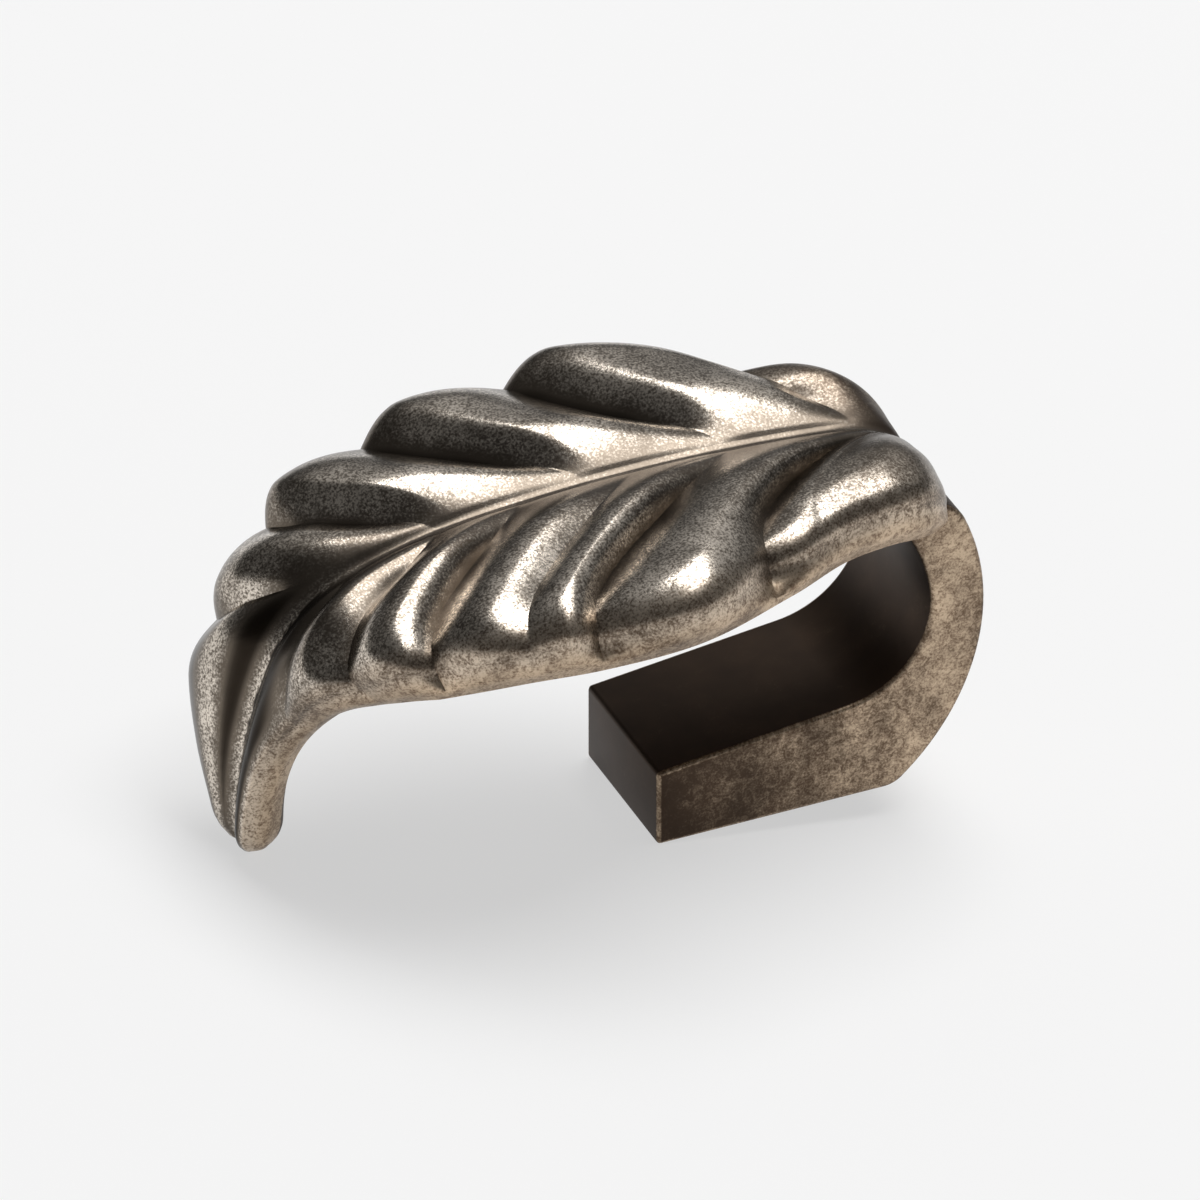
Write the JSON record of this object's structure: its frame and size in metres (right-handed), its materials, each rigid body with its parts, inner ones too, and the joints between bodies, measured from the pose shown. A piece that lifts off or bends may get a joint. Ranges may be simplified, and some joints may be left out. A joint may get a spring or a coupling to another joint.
{
  "type": "finger pull",
  "caption": "Leaf-shaped metal finger pull: an arched, fluted leaf carried by a bent strap over a flat foot that fixes to a drawer or door.",
  "frame": {"origin": "centre of the foot's flat mounting face", "axes": "+Z away from the drawer or door that the foot is fixed to, -X from the bend towards the leaf's tip, Y across the leaf"},
  "size_m": [0.0493, 0.0304, 0.0266],
  "materials": {
    "metal": "antiqued nickel tone, dark brown in the recesses and rubbed bright on the high parts"
  },
  "bodies": {
    "root": {"leaf_pull": "metal"}
  },
  "joints": []
}
